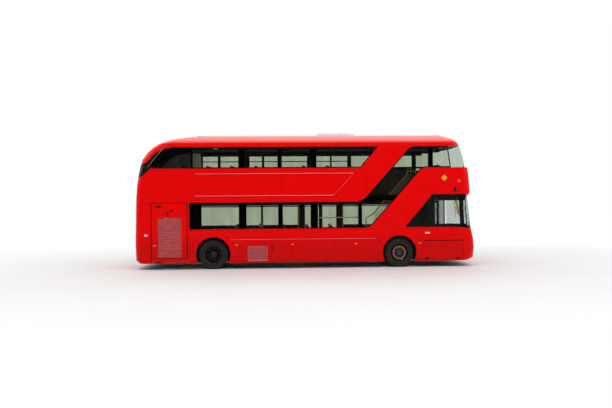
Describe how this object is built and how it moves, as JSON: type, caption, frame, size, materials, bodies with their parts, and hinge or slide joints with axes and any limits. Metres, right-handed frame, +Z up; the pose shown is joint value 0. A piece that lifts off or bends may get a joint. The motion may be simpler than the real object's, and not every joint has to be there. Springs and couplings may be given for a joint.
{
  "type": "double-decker bus",
  "caption": "Full-size two-deck city bus with slanted stair glazing, kerb-side doors, saloon seats, driver's cab and steering.",
  "frame": {"origin": "on the ground under the middle of the body", "axes": "+X forward along the bus, +Y to the bus's left (kerb side), +Z up"},
  "size_m": [11.2298, 2.539, 4.4749],
  "materials": {
    "red_paint": "gloss coach paint",
    "white_paint": "satin coach paint",
    "tinted_glass": "tinted safety glass",
    "clear_glass": "laminated windscreen glass",
    "floor_vinyl": "speckled vinyl flooring",
    "stair_vinyl": "ribbed vinyl treads",
    "lining": "moulded lining panel",
    "engine_iron": "cast iron and hoses, as one block",
    "underframe_paint": "black chassis paint",
    "black_trim": "black glazing trim",
    "bright_steel": "satin steel",
    "seat_moquette": "wool moquette",
    "cab_plastic": "grained moulding",
    "rail_paint": "brass-yellow powder coat",
    "lamp_clear": "clear lamp lens",
    "lamp_red": "red lamp lens",
    "tyre_rubber": "bus tyre",
    "rim_paint": "dark wheel paint"
  },
  "bodies": {
    "body": {"side_wall_right": "red_paint", "side_wall_left": "red_paint", "rear_wall": "red_paint", "roof": "red_paint", "front_cowl": "red_paint", "front_panel": "red_paint", "side_glazing_right": "tinted_glass", "side_glazing_left": "tinted_glass", "windscreens": "clear_glass", "rear_glazing": "tinted_glass", "lower_floor": "floor_vinyl", "upper_floor": "floor_vinyl", "wheel_boxes": "lining", "front_stairs": "stair_vinyl", "rear_stairs": "stair_vinyl", "engine_bay_walls": "lining", "engine_block": "engine_iron", "chassis_frame": "underframe_paint", "towing_bosses": "underframe_paint", "window_pillars": "black_trim", "front_axle": "underframe_paint", "rear_axle": "underframe_paint", "middle_doors": "black_trim", "middle_door_panes": "tinted_glass", "door_pivots": "bright_steel", "upper_seats": "seat_moquette", "lower_seats": "seat_moquette", "driver_seat": "seat_moquette", "cab_console": "cab_plastic", "steering_wheel": "cab_plastic", "handrails": "rail_paint", "roof_panel": "white_paint", "roof_pod": "white_paint", "headlamps": "lamp_clear", "tail_lamps": "lamp_red"},
    "knuckle_left": {"knuckle_left": "underframe_paint"},
    "knuckle_right": {"knuckle_right": "underframe_paint"},
    "wheel_front_left": {"front_tyre_left": "tyre_rubber", "front_rim_left": "rim_paint"},
    "wheel_front_right": {"front_tyre_right": "tyre_rubber", "front_rim_right": "rim_paint"},
    "wheel_rear_left": {"rear_tyres_left": "tyre_rubber", "rear_rim_left": "rim_paint"},
    "wheel_rear_right": {"rear_tyres_right": "tyre_rubber", "rear_rim_right": "rim_paint"},
    "front_door_arm_front": {"front_door_arms_front": "bright_steel"},
    "front_door_arm_rear": {"front_door_arms_rear": "bright_steel"},
    "front_door_leaf_front": {"front_door_leaf_front": "black_trim", "front_door_pane_front": "tinted_glass"},
    "front_door_leaf_rear": {"front_door_leaf_rear": "black_trim", "front_door_pane_rear": "tinted_glass"},
    "rear_door_a": {"rear_door_panel_a": "black_trim", "rear_door_pane_a": "tinted_glass"},
    "rear_door_b": {"rear_door_panel_b": "black_trim", "rear_door_pane_b": "tinted_glass"},
    "engine_door": {"engine_door": "red_paint"}
  },
  "joints": [
    {"name": "steer_left", "type": "hinge", "parent": "body", "child": "knuckle_left", "pos_m": [2.995, 0.965, 0.47], "axis": [0, 0, 1], "range_deg": [-45, 45]},
    {"name": "steer_right", "type": "hinge", "parent": "body", "child": "knuckle_right", "pos_m": [2.995, -0.965, 0.47], "axis": [0, 0, 1], "range_deg": [-45, 45]},
    {"name": "spin_front_left", "type": "hinge", "parent": "knuckle_left", "child": "wheel_front_left", "pos_m": [2.995, 1.07, 0.47], "axis": [0, 1, 0], "continuous": true},
    {"name": "spin_front_right", "type": "hinge", "parent": "knuckle_right", "child": "wheel_front_right", "pos_m": [2.995, -1.07, 0.47], "axis": [0, 1, 0], "continuous": true},
    {"name": "spin_rear_left", "type": "hinge", "parent": "body", "child": "wheel_rear_left", "pos_m": [-3.03, 1.07, 0.47], "axis": [0, 1, 0], "continuous": true},
    {"name": "spin_rear_right", "type": "hinge", "parent": "body", "child": "wheel_rear_right", "pos_m": [-3.03, -1.07, 0.47], "axis": [0, 1, 0], "continuous": true},
    {"name": "front_door_open", "type": "hinge", "parent": "body", "child": "front_door_arm_front", "pos_m": [4.92, 1.239, 1.3], "axis": [0, 0, 1], "range_deg": [0, 90]},
    {"name": "front_door_leaf_front_turn", "type": "hinge", "parent": "front_door_arm_front", "child": "front_door_leaf_front", "pos_m": [4.6425, 1.239, 1.3], "axis": [0, 0, 1], "range_deg": [-180, 0]},
    {"name": "front_door_arm_rear_swing", "type": "hinge", "parent": "body", "child": "front_door_arm_rear", "pos_m": [3.78, 1.239, 1.3], "axis": [0, 0, -1], "range_deg": [0, 90]},
    {"name": "front_door_leaf_rear_turn", "type": "hinge", "parent": "front_door_arm_rear", "child": "front_door_leaf_rear", "pos_m": [4.0575, 1.239, 1.3], "axis": [0, 0, -1], "range_deg": [-180, 0]},
    {"name": "rear_door_open", "type": "hinge", "parent": "body", "child": "rear_door_a", "pos_m": [-4.286, 1.239, 1.3], "axis": [0, 0, 1], "range_deg": [0, 85]},
    {"name": "rear_door_knee", "type": "hinge", "parent": "rear_door_a", "child": "rear_door_b", "pos_m": [-4.73, 1.261, 1.3], "axis": [0, 0, 1], "range_deg": [-170, 0]},
    {"name": "engine_door_open", "type": "hinge", "parent": "body", "child": "engine_door", "pos_m": [-3.872, -1.265, 1.2], "axis": [0, 0, 1], "range_deg": [0, 110]}
  ],
  "couplings": [
    {"joint": "steer_right", "follows": "steer_left", "ratio": 1},
    {"joint": "front_door_leaf_front_turn", "follows": "front_door_open", "ratio": -2},
    {"joint": "front_door_arm_rear_swing", "follows": "front_door_open", "ratio": 1},
    {"joint": "front_door_leaf_rear_turn", "follows": "front_door_open", "ratio": -2},
    {"joint": "rear_door_knee", "follows": "rear_door_open", "ratio": -2}
  ]
}
